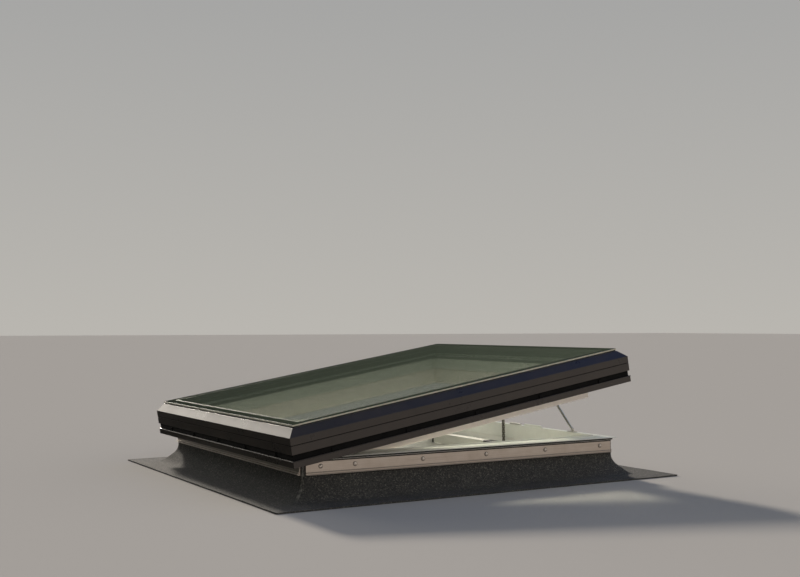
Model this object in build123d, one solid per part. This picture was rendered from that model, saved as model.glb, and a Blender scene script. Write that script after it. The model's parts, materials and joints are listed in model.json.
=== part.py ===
from build123d import *
import math
import os

# Flat-roof skylight: a felted kerb, a white fixed frame, and a glazed sash that is hinged on one
# side and pushed open on the other by a chain drive. Millimetres. The origin is on the roof
# surface at the centre of the kerb, +X runs from the hinge side to the lead side, +Z is up.
# Sections are drawn as (out, z): out is the distance outwards from the clear opening.

# Cutting shapes
cut_over = 1.0              # how far a cutting shape runs past what it cuts

# Kerb and roofing felt
clear_x = 1140.0            # clear opening from the hinge side to the lead side
clear_y = 1038.0            # clear opening along the hinge
kerb_height = 126.0
kerb_wall = 43.0
flange_width = 45.0
flange_thickness = 5.0
fixing_radius = 4.0
fixing_inset = 22.0         # from the flange's outer edge to its fixing holes
fixing_spacing_x = 800.0    # on the near and far flanges
fixing_spacing_y = 720.0    # on the hinge and lead flanges
cant_height = 44.0
felt = 4.0
felt_drop = 2.0             # felt's upper edge below the top of the kerb
felt_bend = 22.0            # radius of the felt where it turns on to the cant and the roof
skirt = 154.0               # skirt on the roof, beyond the upright felt
lead_skirt = 172.0

# Edging strips
strip_plate = 2.5
strip_height = 42.0
strip_drop = 3.0
strip_short = 12.0          # strip's ends short of the felt's corner
strip_flare = 1.0           # strip's upper edge, turned outwards
bead_out = 5.5
bead_height = 2.0
bead_groove = 4.5
bead_round = 0.9
screw_line = 16.0           # screws below the strip's upper edge
screw_pitch = 250.0
screw_first = 50.0
screw_second = 170.0
washer_radius = 7.2
washer_height = 1.6
head_radius = 5.0
head_height = 2.8
shank_radius = 2.4
shank_length = 28.0
shank_clearance = 0.1

# Fixed frame
kerb_seal_height = 6.5
kerb_seal_setback = 8.0
frame_leg = 4.0
frame_leg_height = 51.5
frame_plate = 4.0
frame_nose = 10.6           # frame's edge beyond the upright felt
frame_nose_height = 1.8
frame_nose_slope = 10.0
frame_lip = 3.0
frame_lip_height = 3.5

# Sash, drawn closed
closing_gap = 10.5          # fixed frame's top to the sash's underside
overhang = 55.7             # sash's outer face beyond the upright felt
skirt_drop = 22.9           # lower band below the sash's underside
band_height = 21.6
recess_height = 18.7
recess_depth = 5.0
upper_band_height = 51.9
chamfer_run = 25.6
chamfer_rise = 23.7
sheet = 2.5                 # aluminium of the cap and the lower band
hook = 8.7
edge_round = 1.2
line_height = 2.6           # fine line along the upper band
line_depth = 1.8
line_drop = 24.2
bead = 1.5                  # radius of the bead along the lower band's upper edge
cap_shelf = 25.0
band_leg = 34.0
mitre_gap = 0.2
core_leg = 1.3
rim_gap = 5.6               # inner rim to the clear opening
rim_wall = 10.0
rim_drop = 65.3             # inner rim below the sash's underside
rim_round = 2.4
rim_groove = 4.0
rim_groove_depth = 5.0
break_wall = 4.0
clip_count = 5
clip_end = 140.0
clip_length = 14.0
clip_height = 13.0
clip_out = 3.0
clip_edge = 0.8
sash_seal_start = 6.0
sash_seal_width = 9.0
sash_seal_clearance = 0.3

# Glazing
glass_inset = 26.7          # upper pane's edge inside the sash's outer face
pane_seal_height = 3.6
pane_seal_width = 22.0
pane_seal_setback = 2.0
upper_pane = 6.0
middle_pane = 4.0
lower_pane = 6.0
cavity = 16.0
spacer_width = 12.0
step = 30.0                 # lower panes inside the upper pane
glass_gasket = 10.0
glass_edge_gap = 4.0
arris = 0.8

# Hinges
opening_angle = 9.61
hinge_line = 30.0           # hinge axis outside the clear opening
hinge_spacing = 380.0
knuckle_radius = 4.8
pin_radius = 2.5
running = 0.06
leaf = 2.5
hinge_length = 90.0
middle_knuckle = 40.0
knuckle_gap = 0.5
frame_leaf_width = 28.0
sash_leaf_width = 40.0

# Chain drive
drive_reach = 56.5          # drive's inner side inside the kerb's clear opening, on the lead side
drive_width = 36.0
drive_height = 44.0
drive_drop = 60.0           # drive's foot below the fixed frame's leg
drive_end_gap = 35.0        # drive's far end inside the clear opening's far side
drive_length = 380.0
drive_round = 2.5
lid_height = 3.0            # lid along the drive's top
lid_groove = 2.4            # groove between the lid and the body
lid_groove_depth = 1.8
head_length = 130.0
head_margin = 1.0
cap_length = 14.0
cap_edge = 2.0
bracket_wall = 3.0
bracket_width = 32.0
bracket_inset = 45.0
bracket_gap = 4.0           # bracket's upper end below the drive's top
bracket_lip = 5.0
chain_inset = 25.0          # chain from the drive head's near end
chain_line = 30.0           # chain inside the clear opening where it leaves the drive
chain_pocket = 20.0
pocket_y = 17.0
pocket_x = 12.0
chain_sink = 6.0
link_count = 24
link_radius = 3.6
link_plate = 1.5
chain_half = 6.0
link_play = 0.15
chain_pin_radius = 1.6
chain_tie_line = 28.0       # chain's upper pin inside the clear opening, sash closed
chain_tie_rise = 10.3       # chain's upper pin above the inner rim's lower edge
tie_plate = 3.0
tie_width = 44.0
tie_height = 36.0
tie_ear_gap = 1.5
tie_pin_radius = 1.55
tie_ear_radius = 6.0

# Stays
stay_line = 37.5            # stays outside the clear opening, sash closed
stay_y = 360.0
stay_length = 280.0
stay_rise = 10.0            # stay's lower pin above the fixed frame
stay_head_rise = 5.5        # stay's roller above the sash's underside
stay_width = 10.0
stay_plate = 3.0
stay_pin_radius = 2.5
stay_pin_end = 0.2          # lower pin's end proud of the arm
stay_gap = 0.4
stay_ear = 2.5
stay_ear_radius = 5.5
stay_base_length = 34.0
stay_base_width = 20.0
stay_base_plate = 3.0
roller_radius = 5.0
roller_width = 5.0
sleeve_end = 23.0           # sleeve on the arm's upper half, short of the roller's centre
sleeve_length = 122.0
sleeve_width = 14.0
sleeve_shift = 4.0          # sleeve's middle above the arm's
sleeve_wall = 1.0           # on both faces of the arm
groove_inner = 15.5         # stay groove in the sash, to each side of the stay's line
groove_outer = 9.5
groove_depth = 28.0
groove_margin = 14.0

# Keeps on the lead side of the fixed frame
block_line = 18.0
block_width = 8.5
block_height = 10.0
block_length = 105.0
block_y = -140.5
keep_length = 67.0
keep_height = 9.0
keep_y = -23.5
keep_edge = 1.0

# Levels and lines that follow from the sizes
half_x = clear_x / 2
half_y = clear_y / 2
wall_in = frame_leg
wall_out = wall_in + kerb_wall
flange_out = wall_out + flange_width
felt_face = wall_out + felt
frame_top = kerb_height + kerb_seal_height + frame_plate
drive_base = frame_top - frame_leg_height - drive_drop
drive_top = drive_base + drive_height
drive_start = half_y - drive_end_gap - cap_length - drive_length
chain_y = drive_start - head_length + chain_inset
underside = frame_top + closing_gap
sash_face = felt_face + overhang
band_bottom = underside - skirt_drop
band_top = band_bottom + band_height
upper_band_bottom = band_top + recess_height
chamfer_bottom = upper_band_bottom + upper_band_height
cap_top = chamfer_bottom + chamfer_rise
pane_bottom = cap_top + pane_seal_height
glass_edge = sash_face - glass_inset
lower_edge = glass_edge - step
lower_pane_bottom = pane_bottom - 2 * cavity - middle_pane - lower_pane
core_face = sash_face - recess_depth - break_wall
rim_inner = -rim_gap - rim_wall
rim_bottom = underside - rim_drop
hinge_z = frame_top + closing_gap / 2
hinge_axis = Axis((-half_x - hinge_line, 0, hinge_z), (0, -1, 0))

SIDES = {"hinge": 180, "lead": 0, "near": -90, "far": 90}

os.makedirs("parts", exist_ok=True)


def opened(shape):
    """A piece of the closed sash, turned to the open position."""
    return shape.rotate(hinge_axis, opening_angle)


def opened_point(x, y, z):
    return opened(Vertex(x, y, z)).center()


def sheet_outline(path, wall):
    """Outline of a sheet of the given wall on the left of a path."""
    normals = []
    for (x0, z0), (x1, z1) in zip(path, path[1:]):
        length = math.hypot(x1 - x0, z1 - z0)
        normals.append(((z0 - z1) / length, (x1 - x0) / length))
    other = []
    for index, (x, z) in enumerate(path):
        before = normals[max(index - 1, 0)]
        after = normals[min(index, len(normals) - 1)]
        share = wall / (1 + before[0] * after[0] + before[1] * after[1])
        other.append((x + (before[0] + after[0]) * share, z + (before[1] + after[1]) * share))
    return path + other[::-1]


def section(outline, rounds=()):
    """A face on the section plane, with the named corners rounded."""
    face = make_face(Polyline(*outline, close=True))
    for corners, radius in rounds:
        chosen = [face.vertices().sort_by_distance((x, z, 0))[0] for x, z in corners]
        face = fillet(chosen, radius)
    return face


def bar(profile, side, gap=0.0, short=None):
    """A bar of the ring on one side. Its ends are mitred, or square and short of the corner."""
    across, along = (half_x, half_y) if side in ("hinge", "lead") else (half_y, half_x)
    box = profile.bounding_box()
    placed = Pos(across, 0, 0) * (Plane.XZ * profile)
    reach = along + box.max.X
    if short is not None:
        solid = extrude(placed, reach - short, both=True)
    else:
        solid = extrude(placed, reach + cut_over, both=True)
        inner, outer = box.min.X - cut_over, box.max.X + cut_over
        plan = make_face(Polyline(
            (across + inner, -along - inner + gap), (across + outer, -along - outer + gap),
            (across + outer, along + outer - gap), (across + inner, along + inner - gap),
            close=True))
        low, high = box.min.Y - cut_over, box.max.Y + cut_over
        solid = solid & extrude(Pos(0, 0, low) * plan, high - low)
    return Rot(0, 0, SIDES[side]) * solid


def ring(profile, gap=0.0):
    return [bar(profile, side, gap) for side in SIDES]


def opened_ring(profile):
    return [opened(piece) for piece in ring(profile)]


def along_side(side, out, position, z, shape):
    """A shape drawn at the origin, its +X outwards, placed on one side of the ring."""
    across = half_x if side in ("hinge", "lead") else half_y
    return Rot(0, 0, SIDES[side]) * Pos(across + out, position, z) * shape


def side_length(side, out):
    return 2 * ((half_y if side in ("hinge", "lead") else half_x) + out)


def save(shape, node):
    export_step(shape, f"parts/{node}.step")


def save_group(shapes, node):
    save(Compound(children=list(shapes)), node)


def kerb_wall_bar(side):
    """Upright wall with a flange on the roof and its fixing holes."""
    outline = [(wall_in, 0), (flange_out, 0), (flange_out, flange_thickness),
               (wall_out, flange_thickness), (wall_out, kerb_height), (wall_in, kerb_height)]
    solid = bar(section(outline), side)
    spacing = fixing_spacing_y if side in ("hinge", "lead") else fixing_spacing_x
    for position in (-spacing / 2, spacing / 2):
        hole = Cylinder(fixing_radius, 4 * flange_thickness)
        solid -= along_side(side, flange_out - fixing_inset, position, flange_thickness / 2, hole)
    for position in screw_positions(side):
        length = shank_length - strip_plate - felt + cut_over
        hole = Rot(0, 90, 0) * Cylinder(shank_radius + shank_clearance, length)
        middle = wall_out + cut_over - length / 2
        solid -= along_side(side, middle, position, screw_level(), hole)
    return solid


def screw_level():
    return kerb_height - strip_drop - screw_line


def screw_positions(side):
    """Places of the edging screws along a side, measured from its middle."""
    length = side_length(side, felt_face) - 2 * strip_short
    places = [screw_first]
    place = screw_second
    while place < length - screw_second / 2:
        places.append(place)
        place += screw_pitch
    places.append(length - screw_first)
    return [place - length / 2 for place in places]


def cant_section():
    """Wedge at the kerb's foot that turns the felt gently on to the roof."""
    return section([(wall_out, flange_thickness), (flange_out, flange_thickness),
                    (wall_out, flange_thickness + cant_height)])


def felt_bar(side):
    """Felt from under the edging strip, down the kerb, over the cant and out on the roof."""
    toe = flange_out + flange_thickness * flange_width / cant_height
    width = felt_face + max(skirt, lead_skirt)
    path = [(wall_out, kerb_height - felt_drop), (wall_out, flange_thickness + cant_height),
            (toe, 0), (width, 0)]
    outline = sheet_outline(path, felt)
    rounds = [([outline[-2], outline[-3]], felt_bend), ([path[1], path[2]], felt_bend + felt)]
    solid = bar(section(outline, rounds), side)
    left, right = -half_x - felt_face - skirt, half_x + felt_face + lead_skirt
    depth = 2 * (half_y + felt_face + skirt)
    plan = Pos((left + right) / 2, 0, kerb_height / 2) * Box(right - left, depth, kerb_height)
    solid &= plan
    for position in screw_positions(side):
        hole = Rot(0, 90, 0) * Cylinder(shank_radius + shank_clearance, 4 * felt)
        solid -= along_side(side, wall_out + felt / 2, position, screw_level(), hole)
    return solid


def edging_strip(side):
    """Aluminium strip that clamps the felt, with a grooved drip edge along its foot."""
    top = kerb_height - strip_drop
    bottom = top - strip_height
    face = felt_face + strip_plate
    out = face + bead_out
    outline = [(felt_face, bottom), (out, bottom), (out, bottom + bead_height),
               (face, bottom + bead_height), (face, bottom + bead_height + bead_groove),
               (out, bottom + bead_height + bead_groove),
               (out, bottom + 2 * bead_height + bead_groove),
               (face, bottom + 2 * bead_height + bead_groove),
               (face, top - bead_height), (face + strip_flare, top), (felt_face, top)]
    lips = [corner for corner in outline if corner[0] == out]
    profile = section(outline, [(lips, bead_round)])
    solid = bar(profile, side, short=strip_short + bead_out + strip_plate)
    for position in screw_positions(side):
        hole = Rot(0, 90, 0) * Cylinder(shank_radius + shank_clearance, 6 * strip_plate)
        solid -= along_side(side, face, position, screw_level(), hole)
    return solid


def edging_screw(side, position):
    """Round-headed screw with its washer, through the strip and the felt into the kerb."""
    top = washer_height + head_height
    outline = Polyline((0, top), (0, -shank_length), (shank_radius, -shank_length), (shank_radius, 0),
                       (washer_radius, 0), (washer_radius, washer_height), (head_radius, washer_height))
    crown = TangentArc((0, top), (head_radius, washer_height), tangent=(1, 0))
    screw = Rot(0, 90, 0) * revolve(Plane.XZ * make_face(outline + crown), Axis.Z)
    return along_side(side, felt_face + strip_plate, position, screw_level(), screw)


def kerb_seal_section():
    bottom, top = kerb_height, kerb_height + kerb_seal_height
    return section([(wall_in + kerb_seal_setback, bottom), (felt_face, bottom),
                    (felt_face, top), (wall_in + kerb_seal_setback, top)])


def fixed_frame_section():
    """White frame: a plate on the kerb, a leg inside it and a lip along its inner edge."""
    plate = frame_top - frame_plate
    nose = felt_face + frame_nose
    outline = [(0, frame_top - frame_leg_height), (frame_leg, frame_top - frame_leg_height),
               (frame_leg, plate), (nose, plate), (nose, plate + frame_nose_height),
               (nose - frame_nose_slope, frame_top), (frame_lip, frame_top),
               (frame_lip, frame_top + frame_lip_height), (0, frame_top + frame_lip_height)]
    return section(outline)


def cap_section():
    """Outer cap of the sash: upper band, chamfer and a shelf that carries the glass."""
    path = [(core_face, upper_band_bottom), (sash_face, upper_band_bottom),
            (sash_face, chamfer_bottom), (sash_face - chamfer_run, cap_top),
            (sash_face - chamfer_run - cap_shelf, cap_top)]
    face = section(sheet_outline(path, sheet), [(path[1:4], edge_round)])
    level = chamfer_bottom - line_drop
    return face - Pos(sash_face, level) * Rectangle(2 * line_depth, line_height)


def lower_band_section():
    """Lower band of the sash, hooked at its foot, with a light bead along its upper edge."""
    path = [(sash_face - hook, band_bottom), (sash_face, band_bottom),
            (sash_face, band_top), (sash_face - band_leg, band_top)]
    face = section(sheet_outline(path, sheet), [([path[1]], edge_round)])
    return face + Pos(sash_face, band_top - bead) * Circle(bead)


def core_section():
    """Plastic body of the sash, with a rebate for the stepped glass unit."""
    slope = chamfer_rise / chamfer_run
    drop = sheet * math.hypot(1, slope)
    shelf = cap_top - sheet
    shoulder = sash_face - chamfer_run + (cap_top - drop - shelf) / slope
    outer = cap_top - slope * (core_face - sash_face + chamfer_run) - drop
    leg = sash_face - band_leg
    rebate = lower_edge + glass_edge_gap
    seat = lower_pane_bottom - glass_gasket
    outline = [(rim_inner, underside), (leg, underside), (leg, underside - core_leg),
               (core_face, underside - core_leg), (core_face, outer), (shoulder, shelf),
               (rebate, shelf), (rebate, seat), (rim_inner, seat)]
    return section(outline)


def rim_section():
    """Inner rim that hangs into the clear opening, with a groove under the sash's body."""
    outline = [(rim_inner, rim_bottom), (-rim_gap, rim_bottom), (-rim_gap, underside),
               (rim_inner + rim_groove_depth, underside),
               (rim_inner + rim_groove_depth, underside - rim_groove),
               (rim_inner, underside - rim_groove)]
    return section(outline, [([outline[0], outline[1]], rim_round)])


def break_section():
    return section([(core_face, band_top), (core_face + break_wall, band_top),
                    (core_face + break_wall, upper_band_bottom), (core_face, upper_band_bottom)])


def sash_seal_section():
    """Closing seal under the sash, a little clear of the fixed frame when closed."""
    low = frame_top + sash_seal_clearance
    start, end = sash_seal_start, sash_seal_start + sash_seal_width
    middle = (low + underside) / 2
    return section([(start, underside), (start, middle), (start + sash_seal_width / 3, low),
                    (end - sash_seal_width / 3, low), (end, middle), (end, underside)])


def pane_seal_section():
    outer = glass_edge - pane_seal_setback
    return section([(outer - pane_seal_width, cap_top), (outer, cap_top), (outer, pane_bottom),
                    (outer - pane_seal_width, pane_bottom)])


def glass_gasket_section():
    top = lower_pane_bottom
    return section([(rim_inner, top - glass_gasket), (-rim_gap, top - glass_gasket),
                    (-rim_gap, top), (rim_inner, top)])


def spacer_section(bottom):
    return section([(lower_edge - spacer_width, bottom), (lower_edge, bottom),
                    (lower_edge, bottom + cavity), (lower_edge - spacer_width, bottom + cavity)])


def pane(edge, bottom, thickness):
    """Glass pane with a small arris along its edges."""
    box = Box(clear_x + 2 * edge, clear_y + 2 * edge, thickness)
    box = chamfer(box.edges().filter_by(Axis.Z, reverse=True), arris)
    return Pos(0, 0, bottom + thickness / 2) * box


def recess_clips():
    """Clips along the dark recess between the two bands."""
    clips = []
    for side in SIDES:
        length = side_length(side, sash_face) - 2 * clip_end
        for index in range(clip_count):
            clip = Box(clip_out, clip_length, clip_height)
            clip = chamfer(clip.faces().sort_by(Axis.X)[-1].edges(), clip_edge)
            place = -length / 2 + index * length / (clip_count - 1)
            out = core_face + break_wall + clip_out / 2
            clips.append(along_side(side, out, place, band_top + clip_height / 2, clip))
    return clips


def hinge_places():
    return (-hinge_spacing, 0, hinge_spacing)


def frame_hinge_leaf():
    """Leaf screwed to the fixed frame, with the two outer knuckles."""
    plate = Pos(-frame_leaf_width / 2, 0, frame_top + leaf / 2 - hinge_z)
    plate = plate * Box(frame_leaf_width, hinge_length, leaf)
    barrel = Rot(90, 0, 0) * Cylinder(knuckle_radius, hinge_length)
    middle = middle_knuckle + 2 * knuckle_gap
    notch = Box(2 * (knuckle_radius + knuckle_gap), middle, 4 * knuckle_radius)
    bore = Rot(90, 0, 0) * Cylinder(pin_radius + running, 2 * hinge_length)
    return plate + barrel - notch - bore


def sash_hinge_leaf():
    """Leaf screwed under the sash, with the middle knuckle."""
    plate = Pos(-sash_leaf_width / 2, 0, underside - leaf / 2 - hinge_z)
    plate = plate * Box(sash_leaf_width, middle_knuckle, leaf)
    barrel = Rot(90, 0, 0) * Cylinder(knuckle_radius, middle_knuckle)
    trim = Pos(-sash_leaf_width, 0, underside - hinge_z + knuckle_radius)
    trim = trim * Box(4 * sash_leaf_width, hinge_length, 2 * knuckle_radius)
    bore = Rot(90, 0, 0) * Cylinder(pin_radius + running, 2 * hinge_length)
    return plate + barrel - bore - trim


def at_hinges(shape):
    return [Pos(-half_x - hinge_line, place, hinge_z) * shape for place in hinge_places()]


def drive_profile(margin=0.0):
    width, height = drive_width + 2 * margin, drive_height + 2 * margin
    centre = Pos(half_x - drive_reach + drive_width / 2, 0, drive_base + drive_height / 2)
    return centre * (Plane.XZ * RectangleRounded(width, height, drive_round + margin))


def drive_span(profile, start, length):
    """A length of the drive from one place along the lead side towards the far side."""
    return Pos(0, start, 0) * extrude(profile, -length)


def drive_housing():
    """Extruded housing whose lid is parted from the body by a groove on both sides."""
    body = drive_span(drive_profile(), drive_start, drive_length)
    middle = drive_start + drive_length / 2
    level = drive_top - lid_height - lid_groove / 2
    for side in (half_x - drive_reach, half_x - drive_reach + drive_width):
        groove = Box(2 * lid_groove_depth, drive_length + 2 * cut_over, lid_groove)
        body -= Pos(side, middle, level) * groove
    return body


def drive_head():
    """Outlet head with the pocket that the chain leaves by."""
    body = drive_span(drive_profile(head_margin), drive_start - head_length, head_length)
    middle = drive_top + head_margin - (chain_pocket - cut_over) / 2
    pocket = Box(pocket_x, pocket_y, chain_pocket + cut_over)
    return body - Pos(half_x - chain_line, chain_y, middle) * pocket


def drive_end_cap():
    body = drive_span(drive_profile(head_margin), drive_start + drive_length, cap_length)
    return chamfer(body.faces().sort_by(Axis.Y)[-1].edges(), cap_edge)


def drive_bracket(place):
    """Hooked bracket that carries the drive on the kerb's inner face."""
    wall = half_x + wall_in
    low = drive_base - bracket_wall
    inner = half_x - drive_reach - bracket_wall
    path = [(wall, drive_top - bracket_gap), (wall, low), (inner, low), (inner, low + bracket_lip)]
    outline = sheet_outline(path[::-1], bracket_wall)
    strap = extrude(Plane.XZ * section(outline), bracket_width / 2, both=True)
    return Pos(0, place, 0) * strap


def chain_ends():
    """Where the chain leaves the drive, and its upper pin with the sash open."""
    start = Vector(half_x - chain_line, chain_y, drive_top - chain_sink)
    end = opened_point(half_x - chain_tie_line, chain_y, rim_bottom + chain_tie_rise)
    return start, end


def push_chain():
    """Push chain: inner and outer side plates in turn, on pins."""
    start, end = chain_ends()
    run = end - start
    pitch = run.length / link_count
    place = Plane(origin=start, x_dir=run, z_dir=(0, 1, 0))
    links = []
    for index in range(link_count):
        outer = index % 2
        outside = chain_half if outer else chain_half - link_plate - link_play
        shape = SlotCenterToCenter(pitch, 2 * link_radius)
        for face in (outside - link_plate, -outside):
            plate = extrude(Pos((index + 0.5) * pitch, 0, face) * shape, link_plate)
            for end_pin in (0, 1):
                hole = Cylinder(chain_pin_radius, 6 * link_plate)
                plate -= Pos((index + end_pin) * pitch, 0, face) * hole
            links.append(place * plate)
    for index in range(link_count):
        pin = Pos(index * pitch, 0, 0) * Cylinder(chain_pin_radius, 2 * chain_half)
        links.append(place * pin)
    return links


def chain_tie():
    """Bracket on the inner rim with two ears that hold the chain's upper pin."""
    pin_x, pin_z = half_x - chain_tie_line, rim_bottom + chain_tie_rise
    back = half_x + rim_inner
    plate = Pos(back - tie_plate / 2, chain_y, rim_bottom + tie_height / 2)
    body = plate * Box(tie_plate, tie_width, tie_height)
    offset = chain_half + tie_ear_gap + tie_plate / 2
    for side in (-offset, offset):
        ear = Rot(90, 0, 0) * Cylinder(tie_ear_radius, tie_plate)
        web = Pos((back - pin_x) / 2, 0, 0) * Box(back - pin_x, tie_plate, 2 * tie_ear_radius)
        body += Pos(pin_x, chain_y + side, pin_z) * (ear + web)
    pin = Rot(90, 0, 0) * Cylinder(tie_pin_radius, 2 * offset)
    return body + Pos(pin_x, chain_y, pin_z) * pin


def stay_points(hand):
    """Lower pin, and the roller's centre with the sash closed and with it open."""
    foot = Vector(half_x + stay_line, hand * stay_y, frame_top + stay_rise)
    head_z = underside + stay_head_rise
    reach = math.sqrt(stay_length ** 2 - (head_z - foot.Z) ** 2)
    closed = Vector(foot.X, hand * (stay_y - reach), head_z)
    level = opened_point(foot.X, 0, head_z)
    spread = math.sqrt(stay_length ** 2 - (level.Z - foot.Z) ** 2 - (level.X - foot.X) ** 2)
    open_head = Vector(level.X, hand * (stay_y - spread), level.Z)
    return foot, closed, open_head


def stay_axis(hand):
    """Direction of the lower pin: the stay turns about it from closed to open."""
    foot, closed, open_head = stay_points(hand)
    return (closed - foot).cross(open_head - foot).normalized()


def outwards(hand):
    """Sign that makes the pin's direction point out of the opening."""
    return 1 if stay_axis(hand).X > 0 else -1


def stay_arm(hand):
    """Flat arm between its lower pin and its roller, and its sleeve, with the sash open."""
    foot, closed, open_head = stay_points(hand)
    plane = Plane(origin=foot, x_dir=open_head - foot, z_dir=stay_axis(hand) * outwards(hand))
    blank = extrude(SlotCenterToCenter(stay_length, stay_width), stay_plate / 2, both=True)
    blank = Pos(stay_length / 2, 0, 0) * blank
    blank -= Cylinder(stay_pin_radius + running, 4 * stay_plate)
    place = Pos(stay_length - sleeve_end - sleeve_length / 2, -hand * sleeve_shift, 0)
    sleeve = place * Box(sleeve_length, sleeve_width, stay_plate + 2 * sleeve_wall) - blank
    return [plane * blank, plane * sleeve]


def stay_roller(hand):
    """Roller on the inner side of the arm's head, with its rivet."""
    foot, closed, open_head = stay_points(hand)
    plane = Plane(origin=open_head, x_dir=open_head - foot, z_dir=stay_axis(hand) * outwards(hand))
    depth = stay_plate / 2 + roller_width / 2
    return plane * (Pos(0, 0, -depth) * Cylinder(roller_radius, roller_width))


def stay_foot(hand):
    """Foot on the fixed frame: a base, an upright ear and the pin."""
    foot, closed, open_head = stay_points(hand)
    plane = Plane(origin=foot, x_dir=closed - foot, z_dir=stay_axis(hand) * outwards(hand))
    inner = stay_plate / 2 + stay_gap
    ear = Pos(0, 0, inner + stay_ear / 2) * Cylinder(stay_ear_radius, stay_ear)
    down = 1 if (plane.to_local_coords(foot - Vector(0, 0, 1))).Y > 0 else -1
    drop = stay_rise - stay_base_plate / 2
    web = Pos(0, down * drop / 2, inner + stay_ear / 2) * Box(2 * stay_ear_radius, drop, stay_ear)
    pin = Pos(0, 0, (inner - stay_plate / 2) / 2)
    pin = pin * Cylinder(stay_pin_radius, inner + stay_plate / 2 + 2 * stay_pin_end)
    body = plane * (ear + web + pin)
    base = Pos(foot.X, foot.Y, frame_top + stay_base_plate / 2)
    return body + base * Box(stay_base_width, stay_base_length, stay_base_plate)


def lead_core():
    """Lead side of the sash's body, with a groove above each stay."""
    solid = bar(core_section(), "lead")
    reach = stay_length + 2 * groove_margin
    width = groove_inner + groove_outer
    for hand in (-1, 1):
        centre = hand * (stay_y + groove_margin - reach / 2)
        x = half_x + stay_line + (groove_outer - groove_inner) / 2
        groove = Pos(x, centre, underside) * Box(width, reach, 2 * groove_depth)
        solid -= groove
    return solid


def on_frame(out, width, height, length, place):
    """A small block on the lead side of the fixed frame."""
    block = Box(width, length, height)
    block = chamfer(block.faces().sort_by(Axis.Z)[-1].edges(), keep_edge)
    return Pos(half_x + out + width / 2, place, frame_top + height / 2) * block


for side in SIDES:
    save(kerb_wall_bar(side), f"kerb_wall_{side}")
    save(felt_bar(side), f"felt_{side}")
    save(edging_strip(side), f"edging_strip_{side}")
    save(bar(fixed_frame_section(), side), f"fixed_frame_{side}")
    save(opened(bar(cap_section(), side, mitre_gap)), f"sash_cap_{side}")
    save(opened(bar(lower_band_section(), side, mitre_gap)), f"sash_lower_band_{side}")
    core = lead_core() if side == "lead" else bar(core_section(), side)
    save(opened(core), f"sash_core_{side}")
    save(opened(bar(rim_section(), side)), f"inner_rim_{side}")

save_group(ring(cant_section()), "cant_strips")
save_group([edging_screw(side, place) for side in SIDES for place in screw_positions(side)],
           "edging_screws")
save_group(ring(kerb_seal_section()), "kerb_seal")
save_group(opened_ring(break_section()), "recess_strips")
save_group([opened(clip) for clip in recess_clips()], "recess_clips")
save_group(opened_ring(sash_seal_section()), "closing_seal")
save_group(opened_ring(pane_seal_section()), "pane_seal")
save_group(opened_ring(glass_gasket_section()), "glass_gasket")
save(opened(pane(glass_edge, pane_bottom, upper_pane)), "upper_pane")
save(opened(pane(lower_edge, pane_bottom - cavity - middle_pane, middle_pane)), "middle_pane")
save(opened(pane(lower_edge, lower_pane_bottom, lower_pane)), "lower_pane")
save_group(opened_ring(spacer_section(pane_bottom - cavity))
           + opened_ring(spacer_section(lower_pane_bottom + lower_pane)), "glass_spacers")

save_group(at_hinges(frame_hinge_leaf()), "frame_hinge_leaves")
save_group([opened(item) for item in at_hinges(sash_hinge_leaf())], "sash_hinge_leaves")
save_group(at_hinges(Rot(90, 0, 0) * Cylinder(pin_radius, hinge_length)), "hinge_pins")

save(drive_housing(), "drive_housing")
save(drive_head(), "drive_head")
save(drive_end_cap(), "drive_end_cap")
save_group([drive_bracket(drive_start + bracket_inset),
            drive_bracket(drive_start + drive_length - bracket_inset)], "drive_brackets")
save_group(push_chain(), "push_chain")
save(opened(chain_tie()), "chain_tie")

save_group([stay_foot(-1), stay_foot(1)], "stay_feet")
for hand, name in ((-1, "near"), (1, "far")):
    save_group(stay_arm(hand), f"stay_arm_{name}")
    save(stay_roller(hand), f"stay_roller_{name}")

save(on_frame(block_line, block_width, block_height, block_length, block_y), "closing_block")
save(on_frame(block_line, block_width, keep_height, keep_length, keep_y), "lock_keep")
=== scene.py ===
"""A flat-roof skylight: a felted kerb with aluminium edging strips, a white frame, and a glazed
anthracite sash pushed open by a chain drive. Metres, in the frame of the CAD part."""

import json
import math

import bmesh
import bpy
from mathutils import Matrix, Vector, noise


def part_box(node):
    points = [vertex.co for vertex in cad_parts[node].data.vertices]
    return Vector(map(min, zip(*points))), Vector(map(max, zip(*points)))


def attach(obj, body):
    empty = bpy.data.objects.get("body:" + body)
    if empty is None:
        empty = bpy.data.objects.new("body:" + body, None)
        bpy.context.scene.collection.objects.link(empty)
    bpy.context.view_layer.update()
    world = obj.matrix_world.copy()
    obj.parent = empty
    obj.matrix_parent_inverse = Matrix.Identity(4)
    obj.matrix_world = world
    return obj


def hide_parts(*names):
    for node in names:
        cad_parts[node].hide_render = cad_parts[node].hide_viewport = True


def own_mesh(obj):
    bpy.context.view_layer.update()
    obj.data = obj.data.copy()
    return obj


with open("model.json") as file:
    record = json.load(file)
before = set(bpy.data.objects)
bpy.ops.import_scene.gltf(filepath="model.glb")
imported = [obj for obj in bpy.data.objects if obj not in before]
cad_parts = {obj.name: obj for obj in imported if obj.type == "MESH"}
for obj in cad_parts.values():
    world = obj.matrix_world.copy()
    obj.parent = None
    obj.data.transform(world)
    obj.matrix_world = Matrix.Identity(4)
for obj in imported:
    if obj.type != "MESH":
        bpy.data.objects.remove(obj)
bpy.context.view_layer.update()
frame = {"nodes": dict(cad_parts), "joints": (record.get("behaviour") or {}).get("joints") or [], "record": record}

# Camera, fitted to the corners of strips, sash and glass
EYE = (-2.0456, -3.5631, 0.5361)
LOOK_RIGHT = math.radians(30.615)
LOOK_UP = math.radians(2.004)
LENS = 48.58
SENSOR = 36.0

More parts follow.
